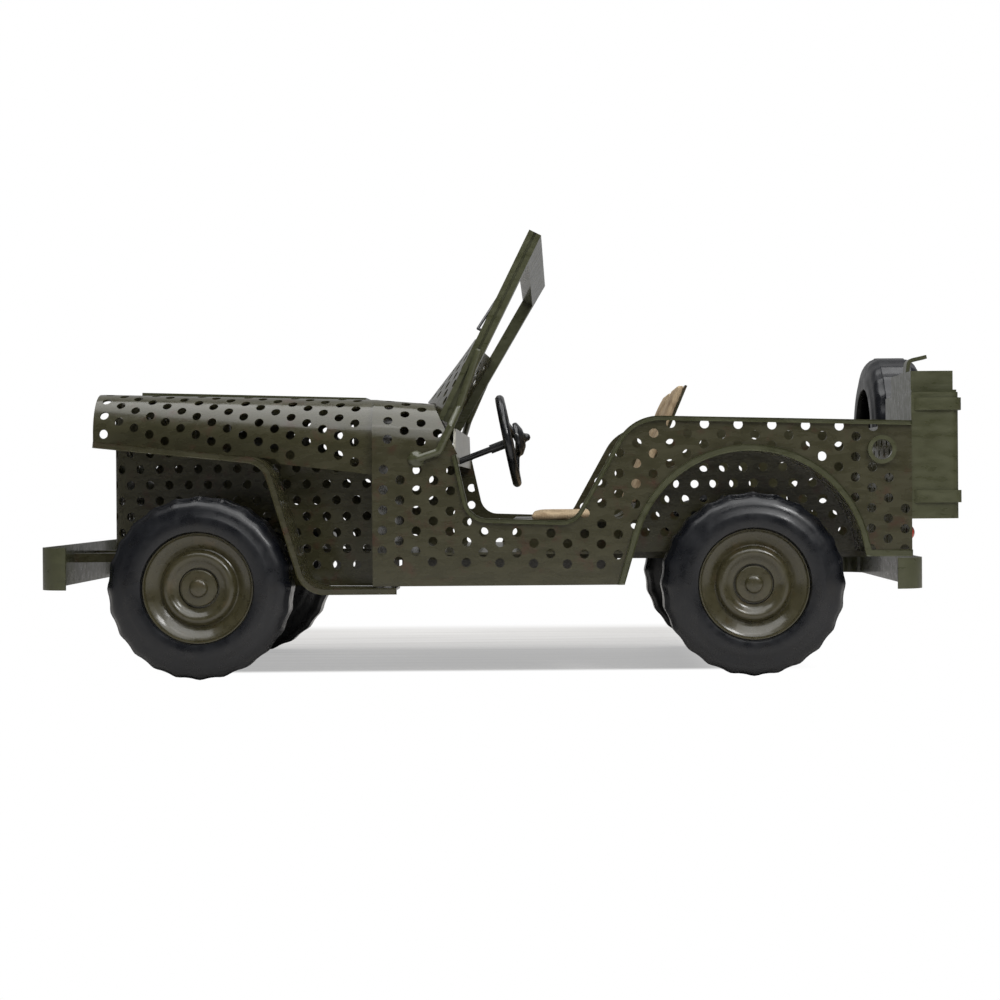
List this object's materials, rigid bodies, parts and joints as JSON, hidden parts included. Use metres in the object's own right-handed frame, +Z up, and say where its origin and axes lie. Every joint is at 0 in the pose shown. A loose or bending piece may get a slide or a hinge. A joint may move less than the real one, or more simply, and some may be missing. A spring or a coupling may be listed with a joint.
{
  "type": "perforated sheet-metal model of an army 4x4 car",
  "caption": "Hand-made painted metal model of an open army off-road car in perforated sheet, with turning wheels and steering wheel.",
  "frame": {"origin": "on the floor, under the centre of the whole model's bounding box", "axes": "+X forward along the model's length, +Y to the model's left, +Z up"},
  "size_m": [0.3168, 0.1422, 0.1529],
  "materials": {
    "body_paint": "glossy brushed paint over perforated sheet steel",
    "trim_paint": "glossy brushed olive paint",
    "tyre_paint": "glossy blue-black paint",
    "disc_paint": "glossy olive-brown paint on turned metal",
    "canvas": "streaked tan canvas",
    "red_paint": "glossy red paint",
    "black_paint": "glossy black paint",
    "pale_paint": "worn pale paint"
  },
  "bodies": {
    "car": {"axle_brackets": "body_paint", "chassis_frame": "body_paint", "cowl": "body_paint", "dashboard": "pale_paint", "disc_spare": "disc_paint", "engine_bay": "body_paint", "fender_left": "body_paint", "fender_right": "body_paint", "firewall": "body_paint", "floor_pan": "body_paint", "front_axle": "black_paint", "front_bumper": "trim_paint", "headlamps": "trim_paint", "hinge_rod_left": "trim_paint", "hinge_rod_right": "trim_paint", "hood": "body_paint", "hood_plate": "trim_paint", "jerrycan": "trim_paint", "jerrycan_lid": "trim_paint", "panel_trim_left": "trim_paint", "panel_trim_right": "trim_paint", "rear_axle": "black_paint", "rear_bumper": "trim_paint", "rear_lamps": "red_paint", "rear_panel": "body_paint", "seat_frame_left": "body_paint", "seat_frame_right": "body_paint", "seat_pads_left": "canvas", "seat_pads_right": "canvas", "side_panel_left": "body_paint", "side_panel_right": "body_paint", "side_ring_left": "trim_paint", "side_ring_right": "trim_paint", "spare_carrier": "black_paint", "steering_column": "black_paint", "tyre_spare": "tyre_paint", "wheelhouse_left": "body_paint", "wheelhouse_right": "body_paint", "windscreen_apron": "body_paint", "windscreen_frame": "body_paint", "wiper_arm": "black_paint"},
    "wheel_front_left": {"tyre_front_left": "tyre_paint", "disc_front_left": "disc_paint"},
    "wheel_front_right": {"tyre_front_right": "tyre_paint", "disc_front_right": "disc_paint"},
    "wheel_rear_left": {"tyre_rear_left": "tyre_paint", "disc_rear_left": "disc_paint"},
    "wheel_rear_right": {"tyre_rear_right": "tyre_paint", "disc_rear_right": "disc_paint"},
    "steering": {"steering_wheel": "black_paint"}
  },
  "joints": [
    {"name": "front_left_spin", "type": "hinge", "parent": "car", "child": "wheel_front_left", "pos_m": [0.10445, 0, 0.0313], "axis": [0, 1, 0], "continuous": true},
    {"name": "front_right_spin", "type": "hinge", "parent": "car", "child": "wheel_front_right", "pos_m": [0.10445, 0, 0.0313], "axis": [0, 1, 0], "continuous": true},
    {"name": "rear_left_spin", "type": "hinge", "parent": "car", "child": "wheel_rear_left", "pos_m": [-0.08375, 0, 0.0313], "axis": [0, 1, 0], "continuous": true},
    {"name": "rear_right_spin", "type": "hinge", "parent": "car", "child": "wheel_rear_right", "pos_m": [-0.08375, 0, 0.0313], "axis": [0, 1, 0], "continuous": true},
    {"name": "steering_spin", "type": "hinge", "parent": "car", "child": "steering", "pos_m": [-0.0002, 0.033, 0.0812], "axis": [0.9799, 0, -0.1994], "continuous": true}
  ]
}
